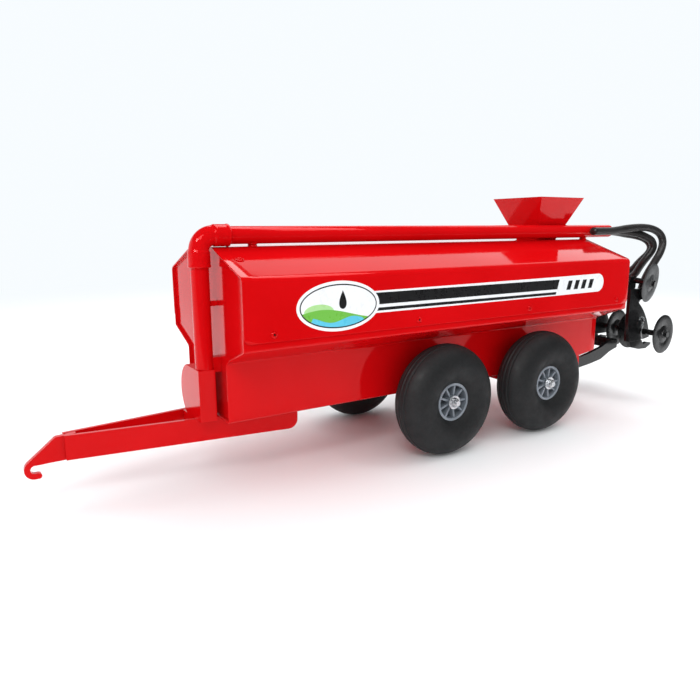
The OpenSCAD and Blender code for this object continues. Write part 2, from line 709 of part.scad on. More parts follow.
// Hand-chosen routes for the preset sizes, from the pipe to the sockets.
left_route = [
  [440, -35.7, 198.3], [455, -35.7, 198.3], [470, -35.7, 198.4], [483, -36.2, 199.3], [496, -38.6, 201],
  [509, -40.5, 202], [521, -42, 202.2], [531, -43.5, 201.5], [540, -45.2, 199.5], [547, -47.2, 196],
  [551, -49, 191], [551.5, -50.5, 185.5], [548.5, -52.4, 180.5], [543, -54.5, 175], [537, -56.1, 170],
  [531.5, -56.6, 165], [527, -56, 159], [524, -54.3, 153], [522.3, -52, 146], [521.4, -50, 139],
  [518.6, -49, 129.4], [514.4, -49, 123.8]
];
centre_route = [
  [484.3, -24, 198.3], [491, -24.2, 198.2], [498, -25.2, 198], [505, -27, 197.6], [512, -29.6, 197.1],
  [519, -33, 196], [525.5, -36.8, 194.4], [531.5, -41, 191.2], [537.5, -44.5, 187], [540.3, -46, 180.5],
  [539, -45.2, 174], [536, -42.6, 167.5], [533.8, -39, 161], [533.5, -34.6, 154], [534.2, -30, 147],
  [532.5, -24, 141], [528, -17, 136.5], [523, -12.3, 133], [518.6, -11, 129.4], [514.4, -11, 123.8]
];
right_route = [
  [440, -12.3, 198.3], [455, -12.3, 198.3], [470, -12.3, 198.3], [484, -12.4, 198.2], [497, -12.5, 197.8],
  [509, -12.8, 197], [519, -14, 195.8], [528.5, -16.5, 194.2], [537.5, -21.5, 192.6], [545, -27.5, 190],
  [550, -32, 186], [552, -35, 180.5], [552, -35, 174.5], [551, -32, 169], [549.6, -27.5, 163.8],
  [548.6, -22.5, 158], [548.4, -17.5, 152], [547, -10, 146.5], [543.5, 0, 142.5], [538.5, 12, 139.7],
  [533, 24, 137.8], [527.5, 35, 136], [522.5, 44, 133.6], [518.6, 49, 129.4], [514.4, 49, 123.8]
];

// Moves a route by a at its start and by b at its end, with a smooth change between.
function led(route, a, b) = [
  for (i = [0:len(route) - 1])
    let (t = max(0, min(1, (i - 3) / (len(route) - 5))), w = t * t * (3 - 2 * t))
    route[i] + a * (1 - w) + b * w
];
// Where the pipe's end and the sockets stand, compared with the preset sizes.
function pipe_shift(s) = [pipe_end_x - 484, 24 - pipe_y + s * (side_hose_y - 11.7), pipe_z - 198.3];
function socket_shift(s) = [beam_x - 500, s * (unit_pitch - 60), beam_z - 127];

// Thin pads that hold the two side hoses against the pipe.
pad_l = 8;
module hose_pads() placed(black)
  for (s = [-1, 1])
    difference() {
      translate([pipe_end_x - 38, s > 0 ? pipe_r - 1.5 - pipe_y : -pipe_r - 0.4 - pipe_y, pipe_z - 2])
        cube([pad_l, 1.9, 4]);
      translate([pipe_end_x - 39, -pipe_y, pipe_z]) rotate([0, 90, 0]) cylinder(r = pipe_r + 0.02, h = pad_l + 2);
    }

module left_hose() placed(black) swept_tube(led(left_route, pipe_shift(-1), socket_shift(-1)), hose_r);
module centre_hose() placed(black) swept_tube(led(centre_route, pipe_shift(0), socket_shift(0)), hose_r);
module right_hose() placed(black) swept_tube(led(right_route, pipe_shift(1), socket_shift(1)), hose_r);

// ---- one line for each node ----

upper_cover();
lower_shell();
front_plate();
rear_plate();
cover_rivets();
overhead_pipe();
pipe_elbow();
riser_pipe();
pipe_end_cap();
pipe_saddles();
riser_ties();
pump_housing();
hopper();
drawbar_rail(1);  // drawbar_left_rail
drawbar_rail(-1);  // drawbar_right_rail
hook_plate();
axle_beam(0);  // front_axle_beam
axle_beam(1);  // rear_axle_beam
axle_rod(0);  // front_axle_rod
axle_rod(1);  // rear_axle_rod
axle_spacers();
axle_washers();
axle_nuts();
tyre(0, -1);  // front_left_tyre
tyre(0, 1);  // front_right_tyre
tyre(1, -1);  // rear_left_tyre
tyre(1, 1);  // rear_right_tyre
hub(0, -1);  // front_left_hub
hub(0, 1);  // front_right_hub
hub(1, -1);  // rear_left_hub
hub(1, 1);  // rear_right_hub
lift_lugs();
lift_pins();
hose_pads();
lift_arm(1);  // left_lift_arm
lift_arm(-1);  // right_lift_arm
lift_tie();
toolbar_mast();
toolbar_beam();
shank(0);  // left_shank
shank(1);  // centre_shank
shank(2);  // right_shank
shank_feet();
shank_bolts();
shank_springs();
hose_sockets();
disc_axles();
upper_disc_arms();
disc(lower_spots[0]);  // left_outer_disc
disc(lower_spots[1]);  // left_inner_disc
disc(lower_spots[2]);  // centre_left_disc
disc(lower_spots[3]);  // centre_right_disc
disc(lower_spots[4]);  // right_inner_disc
disc(lower_spots[5]);  // right_outer_disc
disc(upper_spots[0]);  // left_upper_disc
disc(upper_spots[1]);  // right_upper_disc
left_hose();
centre_hose();
right_hose();
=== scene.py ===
"""A toy liquid-manure tanker wagon: a bent-sheet tank on tandem foam wheels, with an overhead pipe,
a hopper, a hitch hook and a rear injector toolbar fed by hoses.
The rear is at +X, the left side at -Y and the ground at z = 0."""
import json
import math
import bpy
import numpy as np
from mathutils import Matrix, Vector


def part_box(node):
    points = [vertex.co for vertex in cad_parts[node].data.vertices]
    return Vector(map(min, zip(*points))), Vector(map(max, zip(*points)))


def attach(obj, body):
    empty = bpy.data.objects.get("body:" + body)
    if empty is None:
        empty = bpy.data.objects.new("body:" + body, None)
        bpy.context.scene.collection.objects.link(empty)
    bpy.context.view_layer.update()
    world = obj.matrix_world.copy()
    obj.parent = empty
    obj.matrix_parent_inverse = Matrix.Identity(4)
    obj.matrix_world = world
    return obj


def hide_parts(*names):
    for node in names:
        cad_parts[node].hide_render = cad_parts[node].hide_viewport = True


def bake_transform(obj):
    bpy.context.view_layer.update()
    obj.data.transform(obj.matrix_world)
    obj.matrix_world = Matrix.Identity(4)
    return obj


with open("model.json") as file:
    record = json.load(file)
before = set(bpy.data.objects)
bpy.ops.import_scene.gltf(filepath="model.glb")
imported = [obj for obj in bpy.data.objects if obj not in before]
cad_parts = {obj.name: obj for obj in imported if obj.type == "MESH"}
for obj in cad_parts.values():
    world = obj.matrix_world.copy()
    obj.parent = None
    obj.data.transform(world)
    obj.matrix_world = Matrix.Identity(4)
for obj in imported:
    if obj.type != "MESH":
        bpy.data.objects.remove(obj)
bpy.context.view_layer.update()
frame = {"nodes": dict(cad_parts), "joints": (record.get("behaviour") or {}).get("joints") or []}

# ---- Camera ----
# A camera with a slightly wide lens stands ahead of the wagon on its left side.
# It looks back along the tank and down a little, and leans by a quarter of a degree.
mm = 0.001
cover_lo, cover_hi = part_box("upper_cover")
tank_front, tank_rear = cover_lo.x, cover_hi.x
side_half, roof_z, cover_edge_z = cover_hi.y, cover_hi.z, cover_lo.z
camera_place = (tank_front - 166.3 * mm, -485.0 * mm, 203.7 * mm)
pan, dip, lean = math.radians(-32.29), math.radians(11.21), math.radians(-0.27)
eye = bpy.data.cameras.new("studio_camera")
eye.lens, eye.sensor_width = 31.8, 36.0
camera = bpy.data.objects.new("studio_camera", eye)
bpy.context.scene.collection.objects.link(camera)
camera.matrix_world = (
    Matrix.Translation(camera_place)
    @ Matrix.Rotation(pan, 4, "Z")
    @ Matrix.Rotation(math.pi / 2 - dip, 4, "X")
    @ Matrix.Rotation(lean, 4, "Z")
)
bpy.context.scene.camera = camera
bpy.context.scene.view_settings.view_transform = "Standard"


# ---- Floor and light ----
# A white sheet of studio paper lies under the wagon, with its straight front edge just this side of it.
# Soft boxes light it from above, from the left and from behind, in a pale studio.
def solid_mesh(name, points, faces, smooth=True):
    """A new object whose mesh has these points and faces, as they are."""
    mesh = bpy.data.meshes.new(name)
    corners = [list(map(int, face)) for face in faces]
    mesh.from_pydata(np.asarray(points, float).reshape(-1, 3).tolist(), [], corners)
    mesh.update()
    mesh.polygons.foreach_set("use_smooth", [smooth] * len(mesh.polygons))
    piece = bpy.data.objects.new(name, mesh)
    bpy.context.scene.collection.objects.link(piece)
    return piece


def new_material(name, colour, roughness, sockets=None):
    """A material with one Principled shader, whose sockets take these values; returns both."""
    material = bpy.data.materials.new(name)
    material.use_nodes = True
    shader = material.node_tree.nodes["Principled BSDF"]
    shader.inputs["Base Color"].default_value = (*colour, 1)
    shader.inputs["Roughness"].default_value = roughness
    for socket, value in (sockets or {}).items():
        shader.inputs[socket].default_value = value
    return material, shader


def add_node(tree, kind, sockets=None, **settings):
    """A new shader node of that kind, with its settings and the values of its unlinked sockets."""
    node = tree.nodes.new("ShaderNode" + kind)
    for setting, value in settings.items():
        setattr(node, setting, value)
    for socket, value in (sockets or {}).items():
        node.inputs[socket].default_value = value
    return node


paper_r, edge_angle = 5.0, 0.09
bow = np.linspace(-edge_angle, math.pi + edge_angle, 96)
rim = np.stack([paper_r * np.cos(bow), paper_r * np.sin(bow), np.zeros(len(bow))], 1)
paper = solid_mesh("studio_paper", rim, [range(len(bow))])
paper_white, shader = new_material("paper_white", (0.93, 0.935, 0.94), 0.6, {"Specular IOR Level": 0.25})
tree = shader.id_data
grain = add_node(tree, "TexNoise", {"Scale": 900})
bump = add_node(tree, "Bump", {"Strength": 0.03})
place = add_node(tree, "TexCoord")
tree.links.new(place.outputs["Object"], grain.inputs["Vector"])
tree.links.new(grain.outputs["Fac"], bump.inputs["Height"])
tree.links.new(bump.outputs["Normal"], shader.inputs["Normal"])
# Far from the wagon the paper is overlit, so its colour fades to the backdrop's, between these distances.
backdrop_tint, backdrop_glow = (0.935, 0.975, 1.0, 1), 1.0
fade_start, fade_end = 0.75, 1.9
far_off = add_node(tree, "VectorMath", operation="LENGTH")
fade = add_node(tree, "MapRange", {"From Min": fade_start, "From Max": fade_end})
fade.interpolation_type = "SMOOTHSTEP"
overlit = add_node(tree, "Emission", {"Color": backdrop_tint, "Strength": backdrop_glow})
paper_mix = add_node(tree, "MixShader")
tree.links.new(place.outputs["Object"], far_off.inputs[0])
tree.links.new(far_off.outputs["Value"], fade.inputs["Value"])
tree.links.new(fade.outputs["Result"], paper_mix.inputs["Fac"])
tree.links.new(shader.outputs["BSDF"], paper_mix.inputs[1])
tree.links.new(overlit.outputs["Emission"], paper_mix.inputs[2])
tree.links.new(paper_mix.outputs["Shader"], tree.nodes["Material Output"].inputs["Surface"])
paper.data.materials.append(paper_white)


def soft_box(name, place, aim, width, height, watts):
    """An area light of that size at place, turned to face aim."""
    lamp = bpy.data.lights.new(name, "AREA")
    lamp.shape, lamp.size, lamp.size_y, lamp.energy = "RECTANGLE", width, height, watts
    box = bpy.data.objects.new(name, lamp)
    bpy.context.scene.collection.objects.link(box)
    back = np.array(place) - np.array(aim)
    back = back / np.linalg.norm(back)
    across = np.cross((0, 0, 1), back)
    across = across / np.linalg.norm(across)
    up = np.cross(back, across)
    box.matrix_world = Matrix.Translation(place) @ Matrix(np.array([across, up, back]).T.tolist()).to_4x4()
    return box


soft_box("top_box", (0.45, 0.1, 1.5), (0.15, 0, 0), 2.2, 0.32, 9.5)
soft_box("slope_box", (1.12, 0.8, 1.14), (0.0, -0.05, 0.18), 1.6, 0.95, 4.2)
soft_box("left_box", (-1.0, -1.0, 1.3), (0, 0, 0.1), 0.7, 0.5, 7.5)
# The sparkle box only shows as a bright mark in glossy paint.
sparkle = soft_box("sparkle_box", (-1.3, -0.62, 1.08), (-0.22, -0.02, 0.2), 0.42, 0.26, 11)
sparkle.visible_diffuse = False

world = bpy.data.worlds.new("studio_world")
bpy.context.scene.world = world
world.use_nodes = True
tree = world.node_tree
seen = tree.nodes["Background"]
seen.inputs["Color"].default_value, seen.inputs["Strength"].default_value = backdrop_tint, backdrop_glow
lit = add_node(tree, "Background", {"Color": (0.97, 0.985, 1.0, 1), "Strength": 1.02})
# Glossy paint sees a bright backdrop low down behind the wagon and a dim room elsewhere.
mirrored = add_node(tree, "Background", {"Color": (0.95, 0.97, 1.0, 1)})
toward = add_node(tree, "TexCoord")
split = add_node(tree, "SeparateXYZ")
behind = add_node(tree, "MapRange", {"From Min": 0.05, "From Max": 0.3})
low_down = add_node(tree, "MapRange", {"From Min": 0.55, "From Max": 0.35})
behind.interpolation_type = low_down.interpolation_type = "SMOOTHSTEP"
both = add_node(tree, "Math", operation="MULTIPLY")
glow = add_node(tree, "MapRange", {"To Min": 0.07, "To Max": 1.0})
tree.links.new(toward.outputs["Generated"], split.inputs["Vector"])
tree.links.new(split.outputs["Y"], behind.inputs["Value"])
tree.links.new(split.outputs["Z"], low_down.inputs["Value"])
tree.links.new(behind.outputs["Result"], both.inputs[0])
tree.links.new(low_down.outputs["Result"], both.inputs[1])
tree.links.new(both.outputs["Value"], glow.inputs["Value"])
tree.links.new(glow.outputs["Result"], mirrored.inputs["Strength"])
kind_of_ray = add_node(tree, "LightPath")
pick_glossy = add_node(tree, "MixShader")
pick_seen = add_node(tree, "MixShader")
tree.links.new(kind_of_ray.outputs["Is Glossy Ray"], pick_glossy.inputs["Fac"])
tree.links.new(lit.outputs["Background"], pick_glossy.inputs[1])
tree.links.new(mirrored.outputs["Background"], pick_glossy.inputs[2])
tree.links.new(kind_of_ray.outputs["Is Camera Ray"], pick_seen.inputs["Fac"])
tree.links.new(pick_glossy.outputs["Shader"], pick_seen.inputs[1])
tree.links.new(seen.outputs["Background"], pick_seen.inputs[2])
tree.links.new(pick_seen.outputs["Shader"], tree.nodes["World Output"].inputs["Surface"])


# ---- Hoses ----
# Three black rubber hoses carry the liquid from the pipe's rear end over to the injector units. They are
# extruded tube, pushed on at the pipe and into a socket on each unit, and bend when the toolbar drops.
def smooth_route(points, per_span):
    """Points on a uniform Catmull-Rom curve through the given ones: each span is the cubic
    0.5 (2 p1 + (p2 - p0) t + (2 p0 - 5 p1 + 4 p2 - p3) t^2 + (3 p1 - p0 - 3 p2 + p3) t^3)."""
    p = np.asarray(points, float)
    p = np.vstack([2 * p[0] - p[1], p, 2 * p[-1] - p[-2]])
    t = np.linspace(0, 1, per_span, endpoint=False)[None, :, None]
    a, b, c, d = p[:-3, None], p[1:-2, None], p[2:-1, None], p[3:, None]
    square, cube = 2 * a - 5 * b + 4 * c - d, 3 * b - a - 3 * c + d
    curve = 0.5 * (2 * b + (c - a) * t + square * t**2 + cube * t**3)
    return np.vstack([curve.reshape(-1, 3), p[-2:-1]])


def carried_ring(route, across, up_start=(0, 1, 0)):
    """Rings for a profile carried along a route. At each point u = tangent x up_start and v = tangent x u,
    and the ring's points are route + u * across[0] + v * across[1]. Returns an array of rings."""
    tangent = np.gradient(route, axis=0)
    tangent /= np.linalg.norm(tangent, axis=1)[:, None]
    u = np.cross(tangent, np.array(up_start, float))
    u /= np.linalg.norm(u, axis=1)[:, None]
    v = np.cross(tangent, u)
    return route[:, None] + u[:, None] * across[0][..., None] + v[:, None] * across[1][..., None]


def outward(piece):
    """Turns the faces outwards when the signed volume is negative: the sum of a . (b x c) / 6 over triangles."""
    mesh = piece.data
    mesh.calc_loop_triangles()
    corners = np.empty(len(mesh.loop_triangles) * 3, int)
    mesh.loop_triangles.foreach_get("vertices", corners)
    co = np.empty(len(mesh.vertices) * 3)
    mesh.vertices.foreach_get("co", co)
    a, b, c = co.reshape(-1, 3)[corners.reshape(-1, 3)].transpose(1, 0, 2)
    if (a * np.cross(b, c)).sum() < 0:
        mesh.flip_normals()


def closed_skin(name, rings, wrap=False):
    """A mesh of quads between neighbouring rings, closed round each ring. It has a fan of triangles
    at each end or, when wrap is true, quads from the last ring to the first."""
    rows, n = rings.shape[:2]
    i, j = np.meshgrid(np.arange(rows if wrap else rows - 1), np.arange(n), indexing="ij")
    k, m = (i + 1) % rows, (j + 1) % n
    faces = np.stack([i * n + j, k * n + j, k * n + m, i * n + m], -1).reshape(-1, 4).tolist()
    points = rings.reshape(-1, 3)
    if not wrap:
        points = np.vstack([points, rings[0].mean(0), rings[-1].mean(0)])
        a, b = rows * n, rows * n + 1
        faces += [[a, s, (s + 1) % n] for s in range(n)]
        faces += [[b, (rows - 1) * n + (s + 1) % n, (rows - 1) * n + s] for s in range(n)]
    piece = solid_mesh(name, points, faces)
    outward(piece)
    return piece


def noise_into(shader, socket, scale, low, high):
    """Drives one shader number with soft noise that runs from low to high."""
    tree = shader.id_data
    place = add_node(tree, "TexCoord")
    noise = add_node(tree, "TexNoise", {"Scale": scale, "Detail": 3.0})
    spread = add_node(tree, "MapRange", {"From Min": 0.3, "From Max": 0.7, "To Min": low, "To Max": high})
    tree.links.new(place.outputs["Object"], noise.inputs["Vector"])
    tree.links.new(noise.outputs["Fac"], spread.inputs["Value"])
    tree.links.new(spread.outputs["Result"], shader.inputs[socket])


def mottled_colour(shader, scale, dark, light, low=0.35, high=0.65):
    """Lets the base colour wander between dark and light with soft noise."""
    tree = shader.id_data
    place = add_node(tree, "TexCoord")
    noise = add_node(tree, "TexNoise", {"Scale": scale, "Detail": 4.0})
    ramp = add_node(tree, "ValToRGB")
    first, last = ramp.color_ramp.elements
    first.position, last.position = low, high
    first.color, last.color = (*dark, 1), (*light, 1)
    tree.links.new(place.outputs["Object"], noise.inputs["Vector"])
    tree.links.new(noise.outputs["Fac"], ramp.inputs["Fac"])
    tree.links.new(ramp.outputs["Color"], shader.inputs["Base Color"])


def bumps(shader, layers, edge=0.0):
    """Stacks noise bumps, each (scale, strength, distance in metres), and rounds edges by that radius."""
    tree = shader.id_data
    place = add_node(tree, "TexCoord")
    normal = None
    if edge:
        normal = add_node(tree, "Bevel", {"Radius": edge}, samples=6).outputs["Normal"]
    for scale, strength, distance in layers:
        noise = add_node(tree, "TexNoise", {"Scale": scale, "Detail": 2.0})
        bump = add_node(tree, "Bump", {"Strength": strength, "Distance": distance})
        tree.links.new(place.outputs["Object"], noise.inputs["Vector"])
        tree.links.new(noise.outputs["Fac"], bump.inputs["Height"])
        if normal is not None:
            tree.links.new(normal, bump.inputs["Normal"])
        normal = bump.outputs["Normal"]
    tree.links.new(normal, shader.inputs["Normal"])


hose_rubber, shader = new_material("hose_rubber", (0.012, 0.011, 0.011), 0.4, {"Sheen Weight": 0.08})
mottled_colour(shader, 60, (0.009, 0.008, 0.008), (0.017, 0.015, 0.015))
noise_into(shader, "Roughness", 220, 0.34, 0.48)
bumps(shader, [(1500, 0.1, 0.0002), (90, 0.15, 0.0004)])

hose_r = 4.25 * mm
# The points count along X from the tank's front edge, in millimetres.
hose_routes = {
    "left_hose": [
        (440, -35.7, 198.3), (455, -35.7, 198.3), (470, -35.7, 198.4), (483, -36.2, 199.3), (496, -38.6, 201),
        (509, -40.5, 202), (521, -42, 202.2), (531, -43.5, 201.5), (540, -45.2, 199.5), (547, -47.2, 196),
        (551, -49, 191), (551.5, -50.5, 185.5), (548.5, -52.4, 180.5), (543, -54.5, 175), (537, -56.1, 170),
        (531.5, -56.6, 165), (527, -56, 159), (524, -54.3, 153), (522.3, -52, 146), (521.4, -50, 139),
        (518.6, -49, 129.4), (514.4, -49, 123.8),
    ],
    "centre_hose": [
        (484.3, -24, 198.3), (491, -24.2, 198.2), (498, -25.2, 198), (505, -27, 197.6), (512, -29.6, 197.1),
        (519, -33, 196), (525.5, -36.8, 194.4), (531.5, -41, 191.2), (537.5, -44.5, 187), (540.3, -46, 180.5),
        (539, -45.2, 174), (536, -42.6, 167.5), (533.8, -39, 161), (533.5, -34.6, 154), (534.2, -30, 147),
        (532.5, -24, 141), (528, -17, 136.5), (523, -12.3, 133), (518.6, -11, 129.4), (514.4, -11, 123.8),
    ],
    "right_hose": [
        (440, -12.3, 198.3), (455, -12.3, 198.3), (470, -12.3, 198.3), (484, -12.4, 198.2), (497, -12.5, 197.8),
        (509, -12.8, 197), (519, -14, 195.8), (528.5, -16.5, 194.2), (537.5, -21.5, 192.6), (545, -27.5, 190),
        (550, -32, 186), (552, -35, 180.5), (552, -35, 174.5), (551, -32, 169), (549.6, -27.5, 163.8),
        (548.6, -22.5, 158), (548.4, -17.5, 152), (547, -10, 146.5), (543.5, 0, 142.5), (538.5, 12, 139.7),
        (533, 24, 137.8), (527.5, 35, 136), (522.5, 44, 133.6), (518.6, 49, 129.4), (514.4, 49, 123.8),
    ],
}


def circle(radius, points):
    """Points of a circle round the origin, as rows of across and up."""
    turn = np.linspace(0, 2 * math.pi, points, endpoint=False)
    return radius * np.array([np.cos(turn), np.sin(turn)])


for hose_name, points in hose_routes.items():
    route = smooth_route(np.array(points) * mm + np.array([tank_front, 0, 0]), 5)
    hose = closed_skin(hose_name + "_rubber", carried_ring(route, circle(hose_r, 28)))
    hose.data.materials.append(hose_rubber)
    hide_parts(hose_name)
    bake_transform(hose)

# ---- Red enamel ----
# Everything on the tank and the drawbar is mild steel.
# It is sprayed with a thick gloss enamel that shows a faint orange peel.
gleam = {"Specular Tint": (1.0, 0.22, 0.22, 1)}
red_enamel, shader = new_material("red_enamel", (0.6, 0.003, 0.005), 0.08, gleam)
mottled_colour(shader, 14, (0.58, 0.0022, 0.0035), (0.63, 0.003, 0.005))
noise_into(shader, "Roughness", 300, 0.05, 0.1)
bumps(shader, [(9, 0.05, 0.001), (300, 0.025, 0.0003)], edge=0.0005)

# ---- Upper cover ----
# The cover is one sheet bent over the roof, the slopes and the sides, with rounded lower corners.
# It laps over the lower shell, and rivets hold it there.
roof_half, shoulder_z, bend_r, sheet_t, corner_r = 25 * mm, 169 * mm, 5 * mm, 1.2 * mm, 5 * mm


def bent_strip(corners, radius, steps=7):
    """A polyline with each inner corner replaced by an arc of that radius. The arc's centre lies on the
    bisector at radius / sin(half the angle), and its ends at radius / tan(half the angle) along both legs."""
    p = np.asarray(corners, float)
    out = [p[:1]]
    for a, q, b in zip(p[:-2], p[1:-1], p[2:]):
        u, v = (a - q) / np.linalg.norm(a - q), (b - q) / np.linalg.norm(b - q)
        half = math.acos(np.clip(u @ v, -1, 1)) / 2
        centre = q + (u + v) / np.linalg.norm(u + v) * radius / math.sin(half)
        s, e = q + u * radius / math.tan(half) - centre, q + v * radius / math.tan(half) - centre
        a0, a1 = math.atan2(s[1], s[0]), math.atan2(e[1], e[0])
        sweep = (a1 - a0 + math.pi) % (2 * math.pi) - math.pi
        angle = a0 + sweep * np.linspace(0, 1, steps)
        out.append(centre + radius * np.stack([np.cos(angle), np.sin(angle)], 1))
    return np.vstack(out + [p[-1:]])


def mirrored_profile(half):
    """A profile of (y, z) from the right side up to the middle, followed by its mirror image down the left."""
    return np.vstack([half, half[::-1] * [-1, 1]])


def sheet_skin(name, grid, thickness, flip=False):
    """A sheet through a grid of points, given its thickness on the inner side and slightly eased edges.
    flip is for a grid whose order would turn the sheet's outside inwards."""
    rows, n = grid.shape[:2]
    i, j = np.meshgrid(np.arange(rows - 1), np.arange(n - 1), indexing="ij")
    faces = np.stack([i * n + j, (i + 1) * n + j, (i + 1) * n + j + 1, i * n + j + 1], -1).reshape(-1, 4)
    if flip:
        faces = faces[:, ::-1]
    sheet = solid_mesh(name, grid, faces)
    wall = sheet.modifiers.new("wall", "SOLIDIFY")
    wall.thickness, wall.offset, wall.use_even_offset = thickness, -1, True
    edge = sheet.modifiers.new("edge", "BEVEL")
    edge.width, edge.segments, edge.limit_method, edge.angle_limit = 0.25 * mm, 2, "ANGLE", math.radians(60)
    edge.harden_normals = False
    return sheet


columns, corner_steps = 45, 6
folds = mirrored_profile(np.array([[side_half, cover_edge_z], [side_half, shoulder_z], [roof_half, roof_z]]))
rise = corner_r * (1 - np.cos(np.linspace(0, math.pi / 2, corner_steps + 1)))
side_foot = np.stack([np.full(corner_steps + 1, side_half), cover_edge_z + rise], 1)
cover_profile = np.vstack([side_foot, bent_strip(folds, bend_r)[1:-1], side_foot[::-1] * [-1, 1]])
# Near the lower edge the sheet's ends draw back along a quarter circle, which rounds its corners.
below_round = np.clip(corner_r - (cover_profile[:, 1] - cover_edge_z), 0, corner_r)
set_back = corner_r - np.sqrt(np.clip(corner_r**2 - below_round**2, 0, None))
along = np.linspace(0, 1, columns)
x = (tank_front + set_back)[:, None] + (tank_rear - tank_front - 2 * set_back)[:, None] * along
y, z = (np.repeat(cover_profile[:, k:k + 1], columns, 1) for k in (0, 1))
cover = sheet_skin("cover_sheet", np.stack([x, y, z], -1), sheet_t)
cover.data.materials.append(red_enamel)
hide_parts("upper_cover")
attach(cover, "wagon")

# ---- Lower shell ----
# The lower shell is the other bent sheet: short sides inside the cover, slopes in to the hull,
# and a flat floor that rises at the tail.
shell_lo, shell_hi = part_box("lower_shell")
hip_z, hull_top_z, hull_half, shell_bend_r = 116 * mm, 102 * mm, 45.5 * mm, 2 * mm
tail_l, tail_rise = 68 * mm, 10 * mm
shell_folds = np.array([
    [shell_hi.y, shell_hi.z], [shell_hi.y, hip_z], [hull_half, hull_top_z], [hull_half, shell_lo.z],
])
shell_profile = bent_strip(mirrored_profile(shell_folds), shell_bend_r)
tail_start = tank_rear - tail_l
x = np.concatenate([np.linspace(tank_front, tail_start, 30), np.linspace(tail_start, tank_rear, 9)[1:]])
floor_rise = np.clip(x - tail_start, 0, None) * tail_rise / tail_l
is_floor = (shell_profile[:, 1:] < shell_lo.z + 2 * shell_bend_r).astype(float)
grid_shape = (len(shell_profile), len(x))
shell_grid = np.stack([
    np.broadcast_to(x, grid_shape),
    np.broadcast_to(shell_profile[:, :1], grid_shape),
    shell_profile[:, 1:] + is_floor * floor_rise,
], -1)
shell = sheet_skin("shell_sheet", shell_grid, sheet_t, flip=True)
shell.data.materials.append(red_enamel)
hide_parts("lower_shell")
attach(shell, "wagon")


# ---- Plain steel parts in red ----
# End plates, pipes, ties, saddles, pump casing, hopper, drawbar, axle beams and lift lugs are cut or folded
# steel. They are welded on and sprayed with the rest.
def finish_nodes(names, material):
    """Gives these carried-over parts one finish."""
    for name in names:
        slots = frame["nodes"][name].data.materials
        slots.clear()
        slots.append(material)


finish_nodes(["front_plate", "rear_plate", "overhead_pipe", "riser_pipe", "pipe_end_cap", "pipe_saddles",
              "riser_ties", "pump_housing", "hopper", "drawbar_left_rail", "drawbar_right_rail", "hook_plate",
              "front_axle_beam", "rear_axle_beam", "lift_lugs"], red_enamel)

# ---- Tyres ----
# Each tyre is a moulded foam ring with a skin.
# Three fine grooves run round its tread, and a low ridge round each wall.
tyre_foam, shader = new_material("tyre_foam", (0.016, 0.016, 0.017), 0.62, {"Specular IOR Level": 0.35})
mottled_colour(shader, 500, (0.0085, 0.009, 0.0098), (0.013, 0.0135, 0.0145), 0.3, 0.75)
noise_into(shader, "Roughness", 120, 0.52, 0.7)
bumps(shader, [(1600, 0.12, 0.0002), (200, 0.08, 0.0004)])


def turned(name, profile, centre, axis, steps=96, solid=False):
    """A profile of (distance along the axis, radius) turned about an axis through centre.
    Its points are centre + axis * along + radius * (u cos t + v sin t), where u and v are square to the axis.
    The profile is a closed loop or, when solid is true, starts and ends on the axis."""
    axis = np.array(axis, float) / np.linalg.norm(axis)
    u = np.cross(axis, (0, 0, 1))
    u /= np.linalg.norm(u)
    v = np.cross(axis, u)
    t = np.linspace(0, 2 * math.pi, steps, endpoint=False)
    spoke = np.cos(t)[:, None] * u + np.sin(t)[:, None] * v
    p = np.asarray(profile, float)
    rings = np.asarray(centre, float) + p[None, :, :1] * axis + p[None, :, 1:] * spoke[:, None]
    if solid:
        return closed_skin(name, rings.transpose(1, 0, 2))
    return closed_skin(name, rings, wrap=True)


wheels = [f"{end}_{side}" for end in ("front", "rear") for side in ("left", "right")]
section_r, section_half_angle = 19 * mm, math.radians(151)
groove_spots, groove_half, groove_depth = (-5 * mm, 0, 5 * mm), 0.55 * mm, 0.9 * mm
ridge_angle, ridge_half_angle, ridge_h = 1.55, 0.035, 0.25 * mm
angle = np.linspace(-section_half_angle, section_half_angle, 240)
across_tread = section_r * np.sin(angle)
dip = sum(np.exp(-(((across_tread - spot) / groove_half) ** 4)) for spot in groove_spots) * (np.cos(angle) > 0)
ridge = ridge_h * np.exp(-(((np.abs(angle) - ridge_angle) / ridge_half_angle) ** 2))
reach = section_r - groove_depth * dip + ridge
for wheel in wheels:
    lo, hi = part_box(wheel + "_tyre")
    centre = (lo + hi) / 2
    tyre_r = (hi.z - lo.z) / 2
    sideways = np.clip(reach * np.sin(angle), lo.y - centre.y, hi.y - centre.y)
    profile = np.stack([sideways, tyre_r - section_r + reach * np.cos(angle)], 1)
    tyre = turned(wheel + "_foam", profile, centre, (0, 1, 0), 128)
    tyre.data.materials.append(tyre_foam)
    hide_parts(wheel + "_tyre")
    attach(tyre, wheel + "_wheel")

# ---- Hubs ----
# The hubs are moulded grey plastic with ribs between the rim and the boss.
# The tyres are glued to them.
hub_plastic, shader = new_material("hub_plastic", (0.2, 0.225, 0.26), 0.4)
mottled_colour(shader, 90, (0.17, 0.195, 0.225), (0.23, 0.255, 0.29))
noise_into(shader, "Roughness", 260, 0.3, 0.5)
bumps(shader, [(1400, 0.12, 0.0002)], edge=0.0004)
finish_nodes([wheel + "_hub" for wheel in wheels], hub_plastic)

